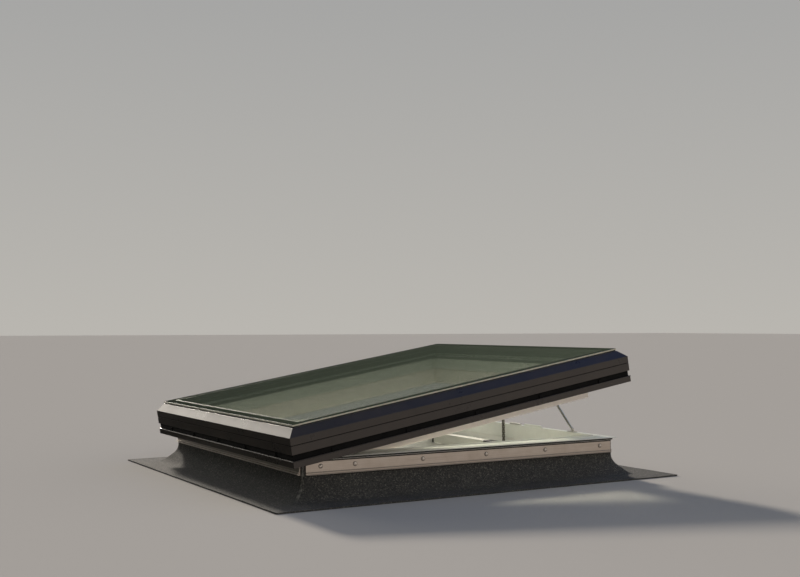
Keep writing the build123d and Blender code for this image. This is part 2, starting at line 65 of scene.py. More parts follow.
# Studio. A reach says where a panel's soft edge begins and where the panel is full, as cosines of
# the angle from its middle.
FLOOR_SIZE = 120.0
KEY_FROM = (0.143, 0.906, 0.399)    # towards the sun lamp: low behind, a little right
KEY_SPREAD = math.radians(6)
KEY_POWER = 4.2
BOUNCE_AT = (0.62, -0.78, 0.0)      # light wall in front
BOUNCE_REACH = (-0.1, 0.6)
SOFT_BOX_AT = (-0.12, 0.95, 0.28)   # soft box that the hinge side's chamfer mirrors
SOFT_BOX_REACH = (0.92, 0.975)
SOFT_BOX_POWER = 3.3
BLUE_AT = (0.65, 0.09, 0.76)        # blue panel that the near chamfer mirrors
BLUE_REACH = (0.85, 0.97)

# Tolerances: on a level of the felt or the sash, on a face of a small piece, and for doubles
CLOSE = 0.0005
EXACT = 0.00001
WELD = 0.000005

# Felt flashing, as in the CAD sections
FELT = 0.004
FELT_BEND = 0.020
FELT_CORNER = 0.012
CANT_TOP = 0.0507
CANT_FOOT = 0.0477                  # cant's foot beyond the upright felt
FELT_GRID = 0.025
FELT_CUT = 0.0018                   # how far in the hand-cut edge wanders
FELT_CUT_RATE = 9.0                 # how fast it wanders, per metre
FELT_CUT_SEED = 0.3
FELT_WAVE = 0.0022
FELT_WAVE_LENGTH = 0.11
CLAMPED_FROM = 0.076                # height from which the strips hold the felt flat
LOOSE_OVER = 0.030                  # drop below it over which the waves grow
CORNER_WEAR_AND_LIGHT = 0.007                   # half width of the pale line along a folded corner: worn chips, painted lighter as a highlight
CORNER_LINE_RISE = (0.006, 0.025)     # heights between which that line grows from nothing
STRIP_PLATE = 0.0025
STRIP_BEAD = 0.0055

# Edging screws, as rings of (radius, height) from the strip outwards
SCREW_FIRST = 0.050
SCREW_SECOND = 0.170
SCREW_PITCH = 0.250
SCREW_DROP = 0.016
# Seal wider than the washer: its black ring is partly painted shade round the head
SEAL_AND_SHADE_RINGS = [(0.0072, 0.0), (0.0072, 0.0006), (0.0069, 0.0009), (0.0058, 0.0009)]
SCREW_HEAD = [(0.0056, 0.0007), (0.0056, 0.0014), (0.0053, 0.0016), (0.0044, 0.0016),
              (0.0043, 0.0025), (0.0038, 0.0036), (0.0029, 0.0041), (0.0017, 0.0043),
              (0.0015, 0.0033)]

# Glazing
ENAMEL_WIDTH = 0.032
ENAMEL = 0.0004
ENAMEL_PROUD = 0.0001               # what stands out below the glass
ENAMEL_INSET = 0.001
ARRIS = 0.0008
GLASS_RIM = 0.00012

# Black strip in the joint along the sash's upper band, painted shade in the groove
JOINT_LEVEL = 0.0272
JOINT_HEIGHT = 0.0019
JOINT_SINK = 0.0003
JOINT_DEPTH = 0.001

# Lid along the drive
LID_HEIGHT = 0.0033
LID_PROUD = 0.0003
LID_INSET = 0.0002
LID_ROUND = 0.0012

# Push chain and stays
LINK_RADIUS = 0.0036
LINK_PLATE = 0.0015
LINK_PLAY = 0.00015
LINK_WAIST = 0.72
LINK_ROUND = 0.00025
LINK_COUNT = 24
CHAIN_HALF = 0.006
CHAIN_PIN = 0.0016
PIN_PROUD = 0.0006
PIN_ROUND = 0.0004
STAY_WIDTH = 0.010
STAY_PLATE = 0.003
STAY_ROUND = 0.0004
# Sleeve: dark, over the stay's upper half, as painted shade
SLEEVE_END = 0.023                  # sleeve's upper end short of the roller's centre
SLEEVE_LENGTH = 0.122
SLEEVE_WIDTH = 0.014
SLEEVE_SHIFT = 0.004
SLEEVE_WALL = 0.001
SLEEVE_ROUND = 0.0003

# The sash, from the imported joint
hinge = next(joint for joint in frame["joints"] if joint["name"] == "sash_hinge")
HINGE = Vector(hinge["pos_m"])
OPENING = -math.radians(hinge["range_deg"][0])

# Sides of the skylight, with the way that each faces in degrees from +X
SIDES = {"hinge": 180, "lead": 0, "near": -90, "far": 90}

# Outer face of the upright felt, behind the edging strips
FELT_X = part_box("edging_strip_lead")[1].x - STRIP_BEAD - STRIP_PLATE
FELT_Y = -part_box("edging_strip_near")[0].y - STRIP_BEAD - STRIP_PLATE


def linear(code):
    """A hex colour as seen on a screen, as the linear colour that a socket takes."""
    parts = [int(code[i:i + 2], 16) / 255 for i in (1, 3, 5)]
    return (*[c / 12.92 if c <= 0.04045 else ((c + 0.055) / 1.055) ** 2.4 for c in parts], 1.0)


def node(tree, kind, inputs=None, stops=(), **settings):
    """Adds a node with its settings, and fills or links its inputs."""
    made = tree.nodes.new(kind)
    for name, value in settings.items():
        setattr(made, name, value)
    for place, code in stops:
        if 0.0 < place < 1.0:
            made.color_ramp.elements.new(place).color = linear(code)
        else:
            made.color_ramp.elements[-int(place)].color = linear(code)
    for name, value in (inputs or {}).items():
        if isinstance(value, bpy.types.NodeSocket):
            tree.links.new(value, made.inputs[name])
        else:
            made.inputs[name].default_value = value
    return made


def finish(name, colour, roughness, **sockets):
    """A material with its shader. Returns the material, its tree and the shader."""
    made = bpy.data.materials.new(name)
    made.use_nodes = True
    tree = made.node_tree
    tree.nodes.clear()
    values = {"Base Color": linear(colour), "Roughness": roughness}
    values.update({key.replace("_", " "): value for key, value in sockets.items()})
    shader = node(tree, "ShaderNodeBsdfPrincipled", values)
    node(tree, "ShaderNodeOutputMaterial", {"Surface": shader.outputs[0]})
    return made, tree, shader


def plug(tree, shader, **sources):
    """Links outputs to sockets of a shader, such as Base_Color."""
    for name, output in sources.items():
        tree.links.new(output, shader.inputs[name.replace("_", " ")])


def per(size_mm):
    """Pattern scale that repeats once in a size in millimetres."""
    return 1000.0 / size_mm


def slate_felt():
    """Bitumen roofing felt with a slate chip surface, torched on. The eye sees dark matt grit with
    pale chips in it, and a paler broken line up the upright corners, where the felt was folded and
    pressed: worn chips, painted lighter as well, a painted highlight that lifts the shade there. The
    chips are about 1.5 mm and are drawn at 3 mm, so that they show."""
    made, tree, shader = finish("slate_chip_bitumen_felt", "#2b2b2c", 0.93)
    place = node(tree, "ShaderNodeTexCoord").outputs["Object"]
    chips = node(tree, "ShaderNodeTexVoronoi", {"Vector": place, "Scale": per(3.0)})
    tones = node(tree, "ShaderNodeSeparateColor", {"Color": chips.outputs["Color"]})
    chip_colour = node(tree, "ShaderNodeValToRGB", {"Fac": tones.outputs[0]}, stops=[
        (0.0, "#2e2f2f"), (0.45, "#3d3e3d"), (0.85, "#4f4f4c"), (1.0, "#76746e")])
    drift = node(tree, "ShaderNodeTexNoise", {"Vector": place, "Scale": per(180.0), "Detail": 4.0})
    weather = node(tree, "ShaderNodeValToRGB", {"Fac": drift.outputs["Fac"]}, stops=[
        (0.0, "#a3a09c"), (0.45, "#c9c6c2"), (1.0, "#f2efea")])
    plain = node(tree, "ShaderNodeMix", {0: 0.8, 6: chip_colour.outputs["Color"],
                                         7: weather.outputs["Color"]},
                 data_type="RGBA", blend_type="MULTIPLY")
    axes = node(tree, "ShaderNodeSeparateXYZ", {0: place})
    across = node(tree, "ShaderNodeMath", {0: axes.outputs["X"]}, operation="ABSOLUTE")
    along = node(tree, "ShaderNodeMath", {0: axes.outputs["Y"]}, operation="ABSOLUTE")
    lead = node(tree, "ShaderNodeMath", {0: across.outputs[0], 1: along.outputs[0]},
                operation="SUBTRACT")
    fold = node(tree, "ShaderNodeMath", {0: lead.outputs[0], 1: FELT_X - FELT_Y, 2: CORNER_WEAR_AND_LIGHT},
                operation="COMPARE")
    broken = node(tree, "ShaderNodeTexNoise", {"Vector": place, "Scale": per(14.0), "Detail": 3.0})
    worn = node(tree, "ShaderNodeMapRange", {"Value": broken.outputs["Fac"], "From Min": 0.4,
                                             "From Max": 0.62, "To Max": 0.55})
    above = node(tree, "ShaderNodeMapRange", {"Value": axes.outputs["Z"],
                                              "From Min": CORNER_LINE_RISE[0],
                                              "From Max": CORNER_LINE_RISE[1]})
    folded = node(tree, "ShaderNodeMath", {0: fold.outputs[0], 1: above.outputs[0]},
                  operation="MULTIPLY")
    worn_and_lit_line = node(tree, "ShaderNodeMath", {0: folded.outputs[0], 1: worn.outputs[0]},
                operation="MULTIPLY")
    # The corners are painted paler: a painted highlight that lifts their shade, over chips worn at the fold
    colour = node(tree, "ShaderNodeMix", {0: worn_and_lit_line.outputs[0], 6: plain.outputs[2],
                                          7: linear("#8d8a82")}, data_type="RGBA")
    grit = node(tree, "ShaderNodeTexNoise", {"Vector": place, "Scale": per(2.5), "Detail": 2.0})
    rise = node(tree, "ShaderNodeMath", {0: chips.outputs["Distance"], 1: grit.outputs["Fac"]},
                operation="SUBTRACT")
    bump = node(tree, "ShaderNodeBump", {"Height": rise.outputs[0], "Strength": 0.7,
                                         "Distance": 0.0015})
    plug(tree, shader, Base_Color=colour.outputs[2], Normal=bump.outputs[0])
    return made


def mill_aluminium():
    """Extruded aluminium, mill finish, dulled by weather. The eye sees a warm pinkish grey with
    faint lines along the extrusion and soft dull patches."""
    made, tree, shader = finish("mill_finish_aluminium", "#8a847e", 0.36, Metallic=1.0)
    place = node(tree, "ShaderNodeTexCoord").outputs["Object"]
    along = node(tree, "ShaderNodeMapping", {"Vector": place, "Scale": (6.0, 6.0, per(0.8))})
    lines = node(tree, "ShaderNodeTexNoise", {"Vector": along.outputs[0], "Scale": 1.0,
                                              "Detail": 3.0})
    dull = node(tree, "ShaderNodeTexNoise", {"Vector": place, "Scale": per(45.0), "Detail": 5.0})
    tone = node(tree, "ShaderNodeMath", {0: lines.outputs["Fac"], 1: dull.outputs["Fac"]},
                operation="MULTIPLY")
    colour = node(tree, "ShaderNodeValToRGB", {"Fac": tone.outputs[0]}, stops=[
        (0.0, "#77716b"), (0.2, "#8a847e"), (0.4, "#9a948e"), (1.0, "#a59f99")])
    rough = node(tree, "ShaderNodeMapRange", {"Value": dull.outputs["Fac"], "From Min": 0.3,
                                              "From Max": 0.7, "To Min": 0.28, "To Max": 0.44})
    bump = node(tree, "ShaderNodeBump", {"Height": lines.outputs["Fac"], "Strength": 0.15,
                                         "Distance": 0.0002})
    plug(tree, shader, Base_Color=colour.outputs["Color"], Roughness=rough.outputs[0],
         Normal=bump.outputs[0])
    return made


def anthracite_powder_coat():
    """Powder-coated extruded aluminium, anthracite. The eye sees a dark satin with a fine orange
    peel, drawn at 3 mm, and a thin brown film of dust that lightens it unevenly."""
    made, tree, shader = finish("anthracite_powder_coat", "#2a2826", 0.3, Specular_IOR_Level=0.3)
    place = node(tree, "ShaderNodeTexCoord").outputs["Object"]
    film = node(tree, "ShaderNodeTexNoise", {"Vector": place, "Scale": per(120.0), "Detail": 6.0,
                                             "Roughness": 0.65})
    colour = node(tree, "ShaderNodeValToRGB", {"Fac": film.outputs["Fac"]}, stops=[
        (0.0, "#262322"), (0.4, "#2d2927"), (0.7, "#36302c"), (1.0, "#433b35")])
    rough = node(tree, "ShaderNodeMapRange", {"Value": film.outputs["Fac"], "From Min": 0.3,
                                              "From Max": 0.7, "To Min": 0.25, "To Max": 0.36})
    peel = node(tree, "ShaderNodeTexNoise", {"Vector": place, "Scale": per(3.0), "Detail": 2.0})
    bump = node(tree, "ShaderNodeBump", {"Height": peel.outputs["Fac"], "Strength": 0.12,
                                         "Distance": 0.0003})
    plug(tree, shader, Base_Color=colour.outputs["Color"], Roughness=rough.outputs[0],
         Normal=bump.outputs[0])
    return made


def pale_finish(name, clean, dusty, roughness):
    """Rigid PVC from the extruder, or a laminate or stove enamel as even as it. The eye sees one
    pale tone with a soft sheen, a little greyer where dust has settled, on a barely uneven skin."""
    made, tree, shader = finish(name, clean, roughness)
    place = node(tree, "ShaderNodeTexCoord").outputs["Object"]
    dust = node(tree, "ShaderNodeTexNoise", {"Vector": place, "Scale": per(70.0), "Detail": 6.0,
                                             "Roughness": 0.6})
    colour = node(tree, "ShaderNodeValToRGB", {"Fac": dust.outputs["Fac"]}, stops=[
        (0.0, dusty), (0.55, clean), (1.0, clean)])
    rough = node(tree, "ShaderNodeMapRange", {"Value": dust.outputs["Fac"], "From Min": 0.3,
                                              "From Max": 0.7, "To Min": roughness + 0.12,
                                              "To Max": roughness - 0.04})
    skin = node(tree, "ShaderNodeTexNoise", {"Vector": place, "Scale": per(5.0), "Detail": 3.0})
    bump = node(tree, "ShaderNodeBump", {"Height": skin.outputs["Fac"], "Strength": 0.08,
                                         "Distance": 0.0003})
    plug(tree, shader, Base_Color=colour.outputs["Color"], Roughness=rough.outputs[0],
         Normal=bump.outputs[0])
    return made


def worn_metal(name, codes, roughness, patch_mm):
    """Steel, stainless, plated or burnished. The eye sees an uneven grey with soft dull and bright
    patches, as of handling and weather."""
    made, tree, shader = finish(name, codes[1], roughness, Metallic=1.0)
    place = node(tree, "ShaderNodeTexCoord").outputs["Object"]
    patch = node(tree, "ShaderNodeTexNoise", {"Vector": place, "Scale": per(patch_mm),
                                              "Detail": 5.0, "Roughness": 0.7})
    colour = node(tree, "ShaderNodeValToRGB", {"Fac": patch.outputs["Fac"]}, stops=[
        (0.0, codes[0]), (0.5, codes[1]), (1.0, codes[2])])
    rough = node(tree, "ShaderNodeMapRange", {"Value": patch.outputs["Fac"], "From Min": 0.25,
                                              "From Max": 0.75, "To Min": roughness + 0.12,
                                              "To Max": roughness - 0.08})
    bump = node(tree, "ShaderNodeBump", {"Height": patch.outputs["Fac"], "Strength": 0.12,
                                         "Distance": 0.0002})
    plug(tree, shader, Base_Color=colour.outputs["Color"], Roughness=rough.outputs[0],
         Normal=bump.outputs[0])
    return made


def dull_finish(name, codes, roughness, grain_mm, gloss=0.5):
    """Rubber, nylon, acetal or PVC from a mould or a die, or enamel fired on glass. The eye sees a
    dull skin with a fine grain and a grey bloom."""
    made, tree, shader = finish(name, codes[0], roughness, Specular_IOR_Level=gloss)
    place = node(tree, "ShaderNodeTexCoord").outputs["Object"]
    bloom = node(tree, "ShaderNodeTexNoise", {"Vector": place, "Scale": per(25.0), "Detail": 5.0})
    colour = node(tree, "ShaderNodeValToRGB", {"Fac": bloom.outputs["Fac"]}, stops=[
        (0.0, codes[0]), (0.6, codes[0]), (1.0, codes[1])])
    grain = node(tree, "ShaderNodeTexNoise", {"Vector": place, "Scale": per(grain_mm),
                                              "Detail": 2.0})
    rough = node(tree, "ShaderNodeMapRange", {"Value": bloom.outputs["Fac"], "From Min": 0.3,
                                              "From Max": 0.7, "To Min": roughness - 0.06,
                                              "To Max": roughness + 0.08})
    bump = node(tree, "ShaderNodeBump", {"Height": grain.outputs["Fac"], "Strength": 0.2,
                                         "Distance": 0.0003})
    plug(tree, shader, Base_Color=colour.outputs["Color"], Roughness=rough.outputs[0],
         Normal=bump.outputs[0])
    return made


def float_glass(name, ior):
    """Clear float glass. The eye sees what is mirrored in it, and what lies behind it with a faint
    green cast. A coated pane mirrors little, which its low IOR stands for. Lamps shine through."""
    made, tree, shader = finish(name, "#fafcfb", 0.0, IOR=ior, Transmission_Weight=1.0)
    open_to_lamps = node(tree, "ShaderNodeBsdfTransparent", {"Color": linear("#fafbf9")})
    ray = node(tree, "ShaderNodeLightPath")
    mix = node(tree, "ShaderNodeMixShader", {0: ray.outputs["Is Shadow Ray"], 1: shader.outputs[0],
                                             2: open_to_lamps.outputs[0]})
    output = next(n for n in tree.nodes if n.type == "OUTPUT_MATERIAL")
    tree.links.new(mix.outputs[0], output.inputs["Surface"])
    return made


def fibre_board():
    """Pressed mineral fibre. The eye sees a dull tan with short fibres."""
    made, tree, shader = finish("mineral_fibre_board", "#8a7a5c", 0.95)
    place = node(tree, "ShaderNodeTexCoord").outputs["Object"]
    fibres = node(tree, "ShaderNodeTexNoise", {"Vector": place, "Scale": per(6.0), "Detail": 6.0})
    colour = node(tree, "ShaderNodeValToRGB", {"Fac": fibres.outputs["Fac"]}, stops=[
        (0.0, "#6c5e45"), (1.0, "#a39270")])
    bump = node(tree, "ShaderNodeBump", {"Height": fibres.outputs["Fac"], "Strength": 0.5,
                                         "Distance": 0.001})
    plug(tree, shader, Base_Color=colour.outputs["Color"], Normal=bump.outputs[0])
    return made


def seamed_glass():
    """Edge of a glass pane, ground by a belt. The eye sees a frosted pale line, a little warm."""
    made, tree, shader = finish("seamed_glass_edge", "#b8b5a2", 0.45)
    place = node(tree, "ShaderNodeTexCoord").outputs["Object"]
    frost = node(tree, "ShaderNodeTexNoise", {"Vector": place, "Scale": per(9.0), "Detail": 4.0})
    colour = node(tree, "ShaderNodeValToRGB", {"Fac": frost.outputs["Fac"]}, stops=[
        (0.0, "#8f927f"), (0.5, "#b8b5a2"), (1.0, "#d5d0bd")])
    plug(tree, shader, Base_Color=colour.outputs["Color"])
    return made


# By material slot. The laminate is an off-white sheet pressed on the kerb's walls, drawn whiter
# than the frame's PVC: painted light that lifts the shade in the light well. The stove enamel is a
# warm white. The rubber is black and dull, the nylon black with a slight sheen, and the acetal of
# the keep mid grey.
FINISHES = {
    # kerb laminate whiter than the PVC: painted light against the shade in the well
    "kerb_plastic": pale_finish("white_kerb_laminate", "#eeeee8", "#dcdcd4", 0.42),
    "roofing_felt": slate_felt(),
    "mill_aluminium": mill_aluminium(),
    "white_plastic": pale_finish("white_extruded_pvc", "#d8dad2", "#c3c4bc", 0.36),
    "anthracite_aluminium": anthracite_powder_coat(),
    "cant_board": fibre_board(),
    "stainless_steel": worn_metal("stainless_steel", ("#8a8580", "#b3ada7", "#cac5bf"), 0.34, 6.0),
    "black_rubber": dull_finish("epdm_rubber", ("#0e0e0f", "#232323"), 0.62, 2.0),
    "black_plastic": dull_finish("black_nylon", ("#131314", "#222223"), 0.5, 1.5),
    "clear_glass": float_glass("clear_float_glass", 1.52),
    "zinc_steel": worn_metal("zinc_plated_steel", ("#93918b", "#bdbbb3", "#d8d6ce"), 0.36, 14.0),
    "white_painted_aluminium": pale_finish("white_stove_enamel", "#fbf9f2", "#ece8dd", 0.3),
    "dark_steel": worn_metal("burnished_steel", ("#37342f", "#635f57", "#8f8a80"), 0.4, 8.0),
    "grey_plastic": dull_finish("grey_acetal", ("#6b6c6a", "#868784"), 0.45, 1.5),
}


def dress_nodes():
    """Gives each CAD node the finish of its material slot. The inner panes have a coated glass, the
    sash's inner rim a warmer, brighter white than the frame's PVC, which is painted warm light, the
    drive's housing a greyer enamel than its lid, which is painted shade on its sides, and what lies
    in the recess a black darker than the nylon, painted shade that reads as a gap."""
    own = {"middle_pane": float_glass("coated_float_glass", 1.02),
           # recess strips and clips: a black darker than the nylon, painted shade in the recess
           "recess_strips": dull_finish("dull_black_pvc", ("#0b0b0b", "#131211"), 0.8, 2.0,
                                        gloss=0.12),
           # drive housing: the white enamel made greyer, painted shade on its sides below the lid
           "drive_housing": pale_finish("pale_grey_stove_enamel", "#cfcec3", "#bdbcb1", 0.4)}
    own["lower_pane"] = own["middle_pane"]
    own["recess_clips"] = own["recess_strips"]
    # inner rims: the PVC made warmer and brighter than the frame's, painted warm light
    warm_lit_rim_finish = pale_finish("white_sash_rim_pvc", "#fbf2e9", "#efe5db", 0.36)
    own.update({f"inner_rim_{side}": warm_lit_rim_finish for side in SIDES})
    for part in frame["record"]["subparts"]:
        piece = frame["nodes"][part["node"]]
        piece.data.materials.clear()
        piece.data.materials.append(own.get(part["node"]) or FINISHES[part["material_slot"]])


def clear():
    bpy.ops.object.select_all(action="DESELECT")


def start(kind, name, scale=(1, 1, 1), **size):
    """Adds a primitive by itself, scaled to its size and ready to be shaped."""
    clear()
    getattr(bpy.ops.mesh, f"primitive_{kind}_add")(**size)
    piece = bpy.context.object
    piece.name = name
    piece.scale = scale
    bpy.ops.object.transform_apply(location=True, rotation=True, scale=True)
    return piece


def pick(piece, kind, test=lambda part: True):
    """Selects the vertices, edges or faces that pass a test, in edit mode."""
    bpy.context.view_layer.objects.active = piece
    if piece.mode != "EDIT":
        bpy.ops.object.mode_set(mode="EDIT")
    bpy.ops.mesh.select_mode(type=kind)
    bpy.ops.mesh.select_all(action="DESELECT")
    mesh = bmesh.from_edit_mesh(piece.data)
    for part in {"VERT": mesh.verts, "EDGE": mesh.edges, "FACE": mesh.faces}[kind]:
        part.select_set(bool(test(part)))
    if kind == "VERT":
        mesh.select_flush(True)
    bmesh.update_edit_mesh(piece.data)


def middle(part):
    """Centre of an edge or a face."""
    return sum((v.co for v in part.verts), Vector()) / len(part.verts)


def rise(edge):
    """How far one end of an edge lies above the other."""
    return abs(edge.verts[0].co.z - edge.verts[1].co.z)


def push(x=0.0, y=0.0, z=0.0):
    bpy.ops.transform.translate(value=(x, y, z))


def leave(piece):
    if piece.mode == "EDIT":
        bpy.ops.object.mode_set(mode="OBJECT")
    clear()
    piece.select_set(True)
    bpy.context.view_layer.objects.active = piece


def modify(piece, kind, **settings):
    """Adds a modifier and applies it."""
    leave(piece)
    made = piece.modifiers.new(kind.lower(), kind)
    for name, value in settings.items():
        setattr(made, name, value)
    bpy.ops.object.modifier_apply(modifier=made.name)


def settle(piece, matrix):
    """Moves a piece to its place and puts the place in its mesh."""
    leave(piece)
    piece.matrix_world = matrix @ piece.matrix_world
    bpy.ops.object.transform_apply(location=True, rotation=True, scale=True)


def tidy_faces(piece):
    """Merges doubles and turns the faces outwards."""
    pick(piece, "VERT")
    bpy.ops.mesh.remove_doubles(threshold=WELD)
    bpy.ops.mesh.normals_make_consistent(inside=False)
    leave(piece)


def turn_out(piece, axis, test):
    """Flips an open sheet if the face that passes a test looks down an axis instead of up it."""
    if next(f for f in piece.data.polygons if test(f)).normal[axis] < 0:
        pick(piece, "FACE")
        bpy.ops.mesh.flip_normals()
        leave(piece)


def hand_over(piece, body, slot, *nodes, angle=35.0, material=None):
    """Gives a finished piece its material, its body and the nodes that it stands for."""
    leave(piece)
    piece.data.materials.clear()
    piece.data.materials.append(material or FINISHES[slot])
    bpy.ops.object.shade_smooth_by_angle(angle=math.radians(angle))
    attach(piece, body)
    if nodes:
        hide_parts(*nodes)


def copy_of(piece, name):
    made = piece.copy()
    made.data = piece.data.copy()
    made.name = name
    bpy.context.scene.collection.objects.link(made)
    return made


def join(pieces, name):
    clear()
    for piece in pieces:
        piece.select_set(True)
    bpy.context.view_layer.objects.active = pieces[0]
    bpy.ops.object.join()
    pieces[0].name = name
    return pieces[0]


def opened():
    """Turns what is modelled on the closed sash to where the sash stands open."""
    turn = Matrix.Rotation(OPENING, 4, Vector((0, -1, 0)))
    return Matrix.Translation(HINGE) @ turn @ Matrix.Translation(-HINGE)


def closed_box(name):
    """Lowest and highest corner of a sash node, turned back to where it lies closed."""
    back = opened().inverted()
    corners = [back @ v.co for v in frame["nodes"][name].data.vertices]
    return (Vector([min(c[i] for c in corners) for i in range(3)]),
            Vector([max(c[i] for c in corners) for i in range(3)]))


def hull(boxes):
    """Lowest and highest corner of several boxes together."""
    return (Vector([min(box[0][i] for box in boxes) for i in range(3)]),
            Vector([max(box[1][i] for box in boxes) for i in range(3)]))


def diagonal(edge):
    step = edge.verts[1].co - edge.verts[0].co
    return abs(step.x) > CLOSE and abs(step.y) > CLOSE


def at_bend(edge):
    """True for the level edges where the felt bends on to the cant and on to its skirt."""
    if rise(edge) > CLOSE:
        return False
    level = edge.verts[0].co.z
    reach = max(max(abs(v.co.x) - FELT_X, abs(v.co.y) - FELT_Y) for v in edge.verts)
    return (abs(level - CANT_TOP) < CLOSE
            or abs(level - FELT) < CLOSE and reach < CANT_FOOT + CLOSE)


def felt_shell(low, high):
    """The felt as one sheet: an upright band, extruded down over the cant and out in a skirt, with
    its folds and bends rounded and cut into a grid that can wave."""
    felt = start("cube", "felt_flashing", size=1, location=(0, 0, (high.z + CANT_TOP) / 2),
                 scale=(2 * FELT_X, 2 * FELT_Y, high.z - CANT_TOP))
    pick(felt, "FACE", lambda f: abs(f.normal.z) > 0.5)
    bpy.ops.mesh.delete(type="ONLY_FACE")
    pick(felt, "EDGE", lambda e: max(v.co.z for v in e.verts) < CANT_TOP + CLOSE)
    bpy.ops.mesh.extrude_edges_move()
    push(z=FELT - CANT_TOP)
    foot_x, foot_y = FELT_X + CANT_FOOT, FELT_Y + CANT_FOOT
    bpy.ops.transform.resize(value=(foot_x / FELT_X, foot_y / FELT_Y, 1),
                             center_override=(0, 0, FELT))
    bpy.ops.mesh.extrude_edges_move()
    bpy.ops.transform.resize(value=(-low.x / foot_x, -low.y / foot_y, 1),
                             center_override=(0, 0, FELT))
    pick(felt, "VERT", lambda v: v.co.x > foot_x + CLOSE)
    push(x=high.x + low.x)
    pick(felt, "EDGE", lambda e: rise(e) > CLOSE or diagonal(e))
    bpy.ops.mesh.bevel(offset=FELT_CORNER, segments=5, affect="EDGES")
    pick(felt, "EDGE", at_bend)
    bpy.ops.mesh.bevel(offset=FELT_BEND, segments=4, affect="EDGES")
    for axis, reach in ((0, high.x), (1, high.y)):
        normal = Vector((1 - axis, axis, 0))
        steps = int(reach / FELT_GRID)
        for step in range(-steps, steps + 1):
            pick(felt, "FACE")
            bpy.ops.mesh.bisect(plane_co=normal * step * FELT_GRID, plane_no=normal)
    tidy_faces(felt)
    turn_out(felt, 0, lambda f: f.center.z > CANT_TOP and f.center.x > FELT_X - CLOSE)
    return felt


def felt_edge(felt, low, high):
    """Squares the skirt's corners again, which the bevel of the folds rounded, and lets its edge
    wander as it was cut by hand."""
    for v in felt.data.vertices:
        turn = Vector((math.copysign(FELT_CORNER, v.co.x), math.copysign(FELT_CORNER, v.co.y)))
        centre = Vector((high.x if turn.x > 0 else low.x, math.copysign(high.y, v.co.y))) - turn
        out = v.co.xy - centre
        if out.x * turn.x > 0 and out.y * turn.y > 0:
            v.co.xy = centre + out * FELT_CORNER / max(abs(out.x), abs(out.y))
    for v in felt.data.vertices:
        spot = Vector((v.co.x * FELT_CUT_RATE, v.co.y * FELT_CUT_RATE, FELT_CUT_SEED))
        wander = FELT_CUT * (0.5 + 0.5 * noise.noise(spot))
        if min(abs(v.co.x - high.x), abs(v.co.x - low.x)) < CLOSE:
            v.co.x -= math.copysign(wander, v.co.x)
        if abs(abs(v.co.y) - high.y) < CLOSE:
            v.co.y -= math.copysign(wander, v.co.y)


def felt_waves(felt):
    """Low waves where the strips don't clamp the felt, none of them below its bedding."""
    loose = felt.vertex_groups.new(name="loose")
    for v in felt.data.vertices:
        share = min(1.0, max(0.0, (CLAMPED_FROM - v.co.z) / LOOSE_OVER))
        loose.add([v.index], share, "REPLACE")
    waves = bpy.data.textures.new("felt_waves", "CLOUDS")
    waves.noise_scale = FELT_WAVE_LENGTH
    modify(felt, "DISPLACE", texture=waves, strength=FELT_WAVE, mid_level=0.1, vertex_group="loose",
           texture_coords="LOCAL")
    for v in felt.data.vertices:
        v.co.z = max(v.co.z, FELT)


def felt_flashing():
    """Felt dressed round the kerb: upright, over the cant and out in a skirt, with soft corners,
    low waves where it isn't clamped, and an edge cut by hand."""
    low, high = hull([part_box(f"felt_{side}") for side in SIDES])
    felt = felt_shell(low, high)
    felt_edge(felt, low, high)
    felt_waves(felt)
    modify(felt, "SOLIDIFY", thickness=FELT, offset=-1.0, use_even_offset=True)
    hand_over(felt, "kerb", "roofing_felt", *[f"felt_{side}" for side in SIDES], angle=50.0)


def turned(name, rings):
    """A turned piece: a disc extruded upwards through rings of (radius, height)."""
    radius, height = rings[0]
    piece = start("circle", name, vertices=24, radius=radius, location=(0, 0, height),
                  fill_type="NGON")
    pick(piece, "FACE")
    for next_radius, next_height in rings[1:]:
        bpy.ops.mesh.extrude_region_move()
        share = next_radius / radius
        bpy.ops.transform.resize(value=(share, share, 1), center_override=(0, 0, height))
        push(z=next_height - height)
        radius, height = next_radius, next_height
    tidy_faces(piece)
    return piece


def screw_places(length):
    """Places of the screws along a strip: one at each end, one close by, then one per pitch."""
    places = [SCREW_FIRST]
    while places[-1] + SCREW_PITCH < length - SCREW_SECOND / 2:
        places.append(SCREW_SECOND if len(places) == 1 else places[-1] + SCREW_PITCH)
    return places + [length - SCREW_FIRST]


def edging_screws():
    """Round-headed screws on steel washers, each on a rubber seal drawn wider than the washer, so
    that its black ring is also painted shade under the head. Both are modelled once and copied to
    their places."""
    models = {"stainless_steel": turned("screw_head_model", SCREW_HEAD),
              "black_rubber": turned("screw_seal_model", SEAL_AND_SHADE_RINGS)}
    for side, turn in SIDES.items():
        low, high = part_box(f"edging_strip_{side}")
        along = 1 if side in ("hinge", "lead") else 0
        length = high[along] - low[along]
        reach = max(abs(low[1 - along]), abs(high[1 - along])) - STRIP_BEAD
        stand = Matrix.Rotation(math.radians(turn), 4, "Z")
        for index, place in enumerate(screw_places(length)):
            spot = Matrix.Translation((reach, place - length / 2, high.z - SCREW_DROP))
            for slot, model in models.items():
                item = copy_of(model, f"{model.name.replace('_model', '')}_{side}_{index + 1}")
                settle(item, stand @ spot @ Matrix.Rotation(math.radians(90), 4, "Y"))
                hand_over(item, "kerb", slot, "edging_screws")
    for model in models.values():
        bpy.data.objects.remove(model)


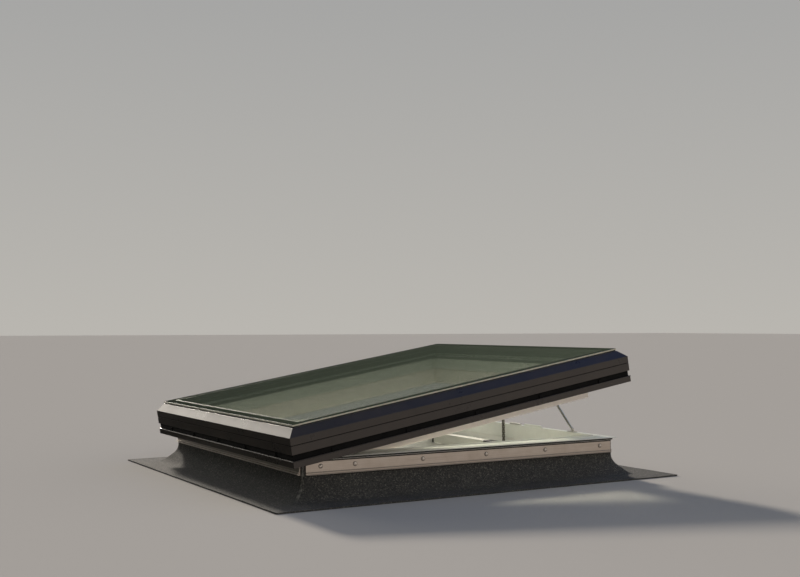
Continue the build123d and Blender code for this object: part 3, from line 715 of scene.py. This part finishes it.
def edge_enamel():
    """Black enamel fired into the underside of the upper pane, round its edge."""
    low, high = closed_box("upper_pane")
    band = start("plane", "glass_edge_enamel", size=1, location=(0, 0, low.z - ENAMEL_PROUD),
                 scale=(high.x - low.x - 2 * ENAMEL_INSET, high.y - low.y - 2 * ENAMEL_INSET, 1))
    pick(band, "FACE")
    bpy.ops.mesh.inset(thickness=ENAMEL_WIDTH)
    bpy.ops.mesh.delete(type="FACE")
    pick(band, "FACE")
    bpy.ops.mesh.extrude_region_move()
    push(z=ENAMEL)
    tidy_faces(band)
    settle(band, opened())
    hand_over(band, "sash", "black_rubber",
              material=dull_finish("fired_black_enamel", ("#0d0e0d", "#141513"), 0.9, 3.0,
                                   gloss=0.0))


def sash_ring(name, low, high, foot, height, thickness, offset):
    """An upright band round the closed sash, from a foot upwards, opened with the sash."""
    ring = start("plane", name, size=1,
                 location=((low.x + high.x) / 2, (low.y + high.y) / 2, foot),
                 scale=(high.x - low.x, high.y - low.y, 1))
    pick(ring, "FACE")
    bpy.ops.mesh.delete(type="ONLY_FACE")
    pick(ring, "EDGE")
    bpy.ops.mesh.extrude_edges_move()
    push(z=height)
    tidy_faces(ring)
    turn_out(ring, 0, lambda f: f.center.x > high.x - CLOSE)
    modify(ring, "SOLIDIFY", thickness=thickness, offset=offset, use_even_offset=True)
    settle(ring, opened())
    return ring


def glass_rim():
    """Seamed edge of the upper pane: the narrow upright between its two arrises."""
    low, high = closed_box("upper_pane")
    rim = sash_ring("glass_seamed_edge", low, high, low.z + ARRIS, high.z - low.z - 2 * ARRIS,
                    GLASS_RIM, 1.0)
    hand_over(rim, "sash", "clear_glass", material=seamed_glass())


def band_joint():
    """Black strip in the joint between the two profiles of the upper band: painted shade, that
    stands for the shadow in the groove.
    """
    low, high = hull([closed_box(f"sash_cap_{side}") for side in SIDES])
    sink = Vector((JOINT_SINK, JOINT_SINK, 0))
    shade_strip = sash_ring("band_joint_gasket", low + sink, high - sink, low.z + JOINT_LEVEL,
                       JOINT_HEIGHT, JOINT_DEPTH, -1.0)
    hand_over(shade_strip, "sash", "black_rubber",
              material=dull_finish("painted_shade_black", ("#070707", "#0e0e0e"), 0.8, 2.0,
                                   gloss=0.1))


def drive_lid():
    """White lid pressed over the drive's housing, with rounded edges. It keeps the enamel's white
    on top, while the housing below it is painted greyer as shade.
    """
    low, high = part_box("drive_housing")
    lid = start("cube", "drive_lid", size=1,
                location=((low.x + high.x) / 2, (low.y + high.y) / 2,
                          high.z + LID_PROUD - LID_HEIGHT / 2),
                scale=(high.x - low.x + 2 * LID_PROUD, high.y - low.y - 2 * LID_INSET, LID_HEIGHT))
    pick(lid, "EDGE", lambda e: min(v.co.z for v in e.verts) > high.z)
    bpy.ops.mesh.bevel(offset=LID_ROUND, segments=3, affect="EDGES")
    hand_over(lid, "kerb", "white_painted_aluminium")


def stay_joint(side):
    return next(joint for joint in frame["joints"] if joint["name"] == f"stay_{side}_pivot")


def stay_span(side):
    """From a stay's lower pin to the middle of its roller, in the plane that the bar lies in."""
    foot = Vector(stay_joint(side)["pos_m"])
    low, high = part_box(f"stay_roller_{side}")
    axis = Vector(stay_joint(side)["axis"]).normalized()
    run = (low + high) / 2 - foot
    return run - axis * run.dot(axis)


def stay_bar():
    """Flat zinc-plated bar with round ends, lying along X from its pin to its roller."""
    bar = start("circle", "stay_bar_model", vertices=24, radius=STAY_WIDTH / 2, fill_type="NGON",
                location=(0, 0, -STAY_PLATE / 2))
    pick(bar, "VERT", lambda v: v.co.x > EXACT)
    push(x=stay_span("near").length)
    pick(bar, "FACE")
    bpy.ops.mesh.extrude_region_move()
    push(z=STAY_PLATE)
    tidy_faces(bar)
    pick(bar, "EDGE", lambda e: rise(e) < EXACT)
    bpy.ops.mesh.bevel(offset=STAY_ROUND, segments=2, affect="EDGES")
    leave(bar)
    return bar


def stay_shade_sleeve():
    """Dark nylon channel pressed over the bar's back, along its upper half: painted shade, that
    darkens the stay's upper half.
    """
    depth = STAY_PLATE + 2 * SLEEVE_WALL
    back = SLEEVE_SHIFT + SLEEVE_WIDTH / 2
    sleeve = start("plane", "stay_sleeve_model", size=1, scale=(SLEEVE_LENGTH, SLEEVE_WIDTH, 1),
                   location=(0, SLEEVE_SHIFT, depth / 2))
    pick(sleeve, "EDGE", lambda e: middle(e).y > back - EXACT)
    bpy.ops.mesh.extrude_edges_move()
    push(z=-depth)
    bpy.ops.mesh.extrude_edges_move()
    push(y=-SLEEVE_WIDTH)
    tidy_faces(sleeve)
    turn_out(sleeve, 2, lambda f: f.center.z > CLOSE)
    modify(sleeve, "SOLIDIFY", thickness=SLEEVE_WALL, offset=-1.0, use_even_offset=True)
    modify(sleeve, "BEVEL", width=SLEEVE_ROUND, segments=1, limit_method="ANGLE")
    return sleeve


def stays():
    """Two stays that hold the open sash: a light bar with a dark sleeve over its upper half, the
    sleeve being painted shade.
    """
    bar, sleeve = stay_bar(), stay_shade_sleeve()
    for side in ("near", "far"):
        run = stay_span(side)
        axis = Vector(stay_joint(side)["axis"]).normalized()
        up = axis if axis.x > 0 else -axis
        ahead = run.normalized()
        turn = Matrix((ahead, up.cross(ahead), up)).transposed().to_4x4()
        place = Matrix.Translation(stay_joint(side)["pos_m"]) @ turn
        item = copy_of(bar, f"stay_bar_{side}")
        settle(item, place)
        hand_over(item, f"stay_{side}", "zinc_steel", f"stay_arm_{side}")
        shift = Matrix.Translation((run.length - SLEEVE_END - SLEEVE_LENGTH / 2, 0, 0))
        item = copy_of(sleeve, f"stay_sleeve_{side}")
        if side == "far":
            shift = shift @ Matrix.Rotation(math.pi, 4, "X")
        settle(item, place @ shift)
        hand_over(item, f"stay_{side}", "black_plastic", f"stay_arm_{side}")
    bpy.data.objects.remove(bar)
    bpy.data.objects.remove(sleeve)


def link_plate(pitch):
    """Side plate of a link, waisted between its two round ends."""
    plate = start("circle", "link_plate", vertices=16, radius=LINK_RADIUS, fill_type="NGON")
    pick(plate, "VERT", lambda v: v.co.x > EXACT)
    push(x=pitch)
    pick(plate, "FACE")
    bpy.ops.mesh.bisect(plane_co=(pitch / 2, 0, 0), plane_no=(1, 0, 0))
    bpy.ops.transform.resize(value=(1, LINK_WAIST, 1), center_override=(pitch / 2, 0, 0))
    pick(plate, "FACE")
    bpy.ops.mesh.extrude_region_move()
    push(z=LINK_PLATE)
    tidy_faces(plate)
    pick(plate, "EDGE", lambda e: rise(e) < EXACT and len(e.link_faces) == 2
         and e.calc_face_angle(0) > 1)
    bpy.ops.mesh.bevel(offset=LINK_ROUND, segments=1, affect="EDGES")
    leave(plate)
    return plate


def link_rivet():
    """Pin through two links, its ends rounded by the hammer."""
    rivet = start("cylinder", "link_rivet", vertices=12, radius=CHAIN_PIN,
                  depth=2 * (CHAIN_HALF + PIN_PROUD))
    pick(rivet, "EDGE", lambda e: rise(e) < EXACT)
    bpy.ops.mesh.bevel(offset=PIN_ROUND, segments=2, affect="EDGES")
    leave(rivet)
    return rivet


def chain_links():
    """Push chain: waisted side plates, outer and inner in turn, on riveted pins."""
    low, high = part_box("push_chain")
    foot = Vector((high.x - LINK_RADIUS, (low.y + high.y) / 2, low.z + LINK_RADIUS))
    head = Vector((low.x + LINK_RADIUS, foot.y, high.z - LINK_RADIUS))
    run = head - foot
    pitch = run.length / LINK_COUNT
    plate, rivet = link_plate(pitch), link_rivet()
    side = Vector((0, 1, 0))
    ahead = run.normalized()
    turn = Matrix((ahead, side.cross(ahead), side)).transposed().to_4x4()
    place = Matrix.Translation(foot) @ turn
    made = []
    for index in range(LINK_COUNT):
        outside = CHAIN_HALF if index % 2 else CHAIN_HALF - LINK_PLATE - LINK_PLAY
        for face in (outside - LINK_PLATE, -outside):
            item = copy_of(plate, f"link_{index}_{len(made)}")
            settle(item, place @ Matrix.Translation((index * pitch, 0, face)))
            made.append(item)
        item = copy_of(rivet, f"rivet_{index}")
        settle(item, place @ Matrix.Translation((index * pitch, 0, 0)))
        made.append(item)
    bpy.data.objects.remove(plate)
    bpy.data.objects.remove(rivet)
    chain = join(made, "chain_links")
    hand_over(chain, "kerb", "dark_steel", "push_chain")
    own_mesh(chain)


def studio_floor():
    """Plain pale floor, far larger than the object. Nothing mirrors it, so that the sash's bands
    stay as dark as they are."""
    bpy.ops.mesh.primitive_plane_add(size=FLOOR_SIZE, location=(0, 0, 0))
    floor = bpy.context.object
    floor.name = "studio_floor"
    paint = finish("pale_floor_paint", "#aaa7a2", 0.95, Specular_IOR_Level=0.0)[0]
    floor.data.materials.append(paint)
    floor.visible_glossy = False


def key_light():
    """Warm sun lamp, as low behind the object as its shadow asks for."""
    sun = bpy.data.lights.new("low_key_from_behind", "SUN")
    sun.energy = KEY_POWER
    sun.color = linear("#fff4e6")[:3]
    sun.angle = KEY_SPREAD
    stand = bpy.data.objects.new("low_key_from_behind", sun)
    stand.location = KEY_FROM
    stand.rotation_euler = (-Vector(KEY_FROM)).to_track_quat("-Z", "Y").to_euler()
    bpy.context.scene.collection.objects.link(stand)


def panel(tree, direction, at, reach):
    """Share of a soft-edged panel of the studio in a direction, from 0 outside it to 1 on it."""
    towards = node(tree, "ShaderNodeVectorMath", {0: direction, 1: at}, operation="DOT_PRODUCT")
    return node(tree, "ShaderNodeMapRange", {"Value": towards.outputs["Value"],
                                             "From Min": reach[0], "From Max": reach[1]}).outputs[0]


def studio_sky():
    """Soft light from all round: a warm light wall in front, a dark wall behind, a cool grey
    overhead with one blue panel, and a soft box behind. The camera sees a plain backdrop."""
    world = bpy.data.worlds.new("studio")
    bpy.context.scene.world = world
    world.use_nodes = True
    tree = world.node_tree
    tree.nodes.clear()
    direction = node(tree, "ShaderNodeTexCoord").outputs["Generated"]
    height = node(tree, "ShaderNodeSeparateXYZ", {0: direction}).outputs["Z"]
    dark_wall = node(tree, "ShaderNodeValToRGB", {"Fac": height}, stops=[
        (0.0, "#23241f"), (0.13, "#2a2d27"), (0.3, "#5b6453"), (0.5, "#6a7078"),
        (1.0, "#828b98")])
    light_wall = node(tree, "ShaderNodeValToRGB", {"Fac": height}, stops=[
        (0.0, "#fff0e2"), (0.25, "#fff8f0"), (0.5, "#f0ece8"), (0.75, "#b4b8be"),
        (1.0, "#828b98")])
    walls = node(tree, "ShaderNodeMix", {
        0: panel(tree, direction, BOUNCE_AT, BOUNCE_REACH), 6: dark_wall.outputs["Color"],
        7: light_wall.outputs["Color"]}, data_type="RGBA")
    sky = node(tree, "ShaderNodeMix", {
        0: panel(tree, direction, BLUE_AT, BLUE_REACH), 6: walls.outputs[2],
        7: linear("#4a7ac8")}, data_type="RGBA")
    soft_box = node(tree, "ShaderNodeMath", {
        0: panel(tree, direction, SOFT_BOX_AT, SOFT_BOX_REACH), 1: SOFT_BOX_POWER},
        operation="MULTIPLY")
    backdrop = node(tree, "ShaderNodeValToRGB", {"Fac": height}, stops=[
        (0.0, "#b9b6b0"), (0.3, "#a5a5a4"), (1.0, "#8f9194")])
    around = node(tree, "ShaderNodeBackground", {"Color": sky.outputs[2]})
    behind = node(tree, "ShaderNodeBackground", {"Color": linear("#fff6ea"),
                                                 "Strength": soft_box.outputs[0]})
    seen = node(tree, "ShaderNodeBackground", {"Color": backdrop.outputs["Color"]})
    light = node(tree, "ShaderNodeAddShader", {0: around.outputs[0], 1: behind.outputs[0]})
    ray = node(tree, "ShaderNodeLightPath")
    both = node(tree, "ShaderNodeMixShader", {0: ray.outputs["Is Camera Ray"], 1: light.outputs[0],
                                              2: seen.outputs[0]})
    node(tree, "ShaderNodeOutputWorld", {"Surface": both.outputs[0]})


def photo_camera():
    lens = bpy.data.cameras.new("photo_camera")
    lens.sensor_width = SENSOR
    lens.lens = LENS
    camera = bpy.data.objects.new("photo_camera", lens)
    camera.location = EYE
    camera.rotation_euler = (math.pi / 2 + LOOK_UP, 0, -LOOK_RIGHT)
    bpy.context.scene.collection.objects.link(camera)
    bpy.context.scene.camera = camera


photo_camera()
clear()
dress_nodes()
felt_flashing()
edging_screws()
edge_enamel()
glass_rim()
band_joint()
drive_lid()
chain_links()
stays()
studio_floor()
studio_sky()
key_light()
bpy.context.scene.view_settings.view_transform = "Standard"
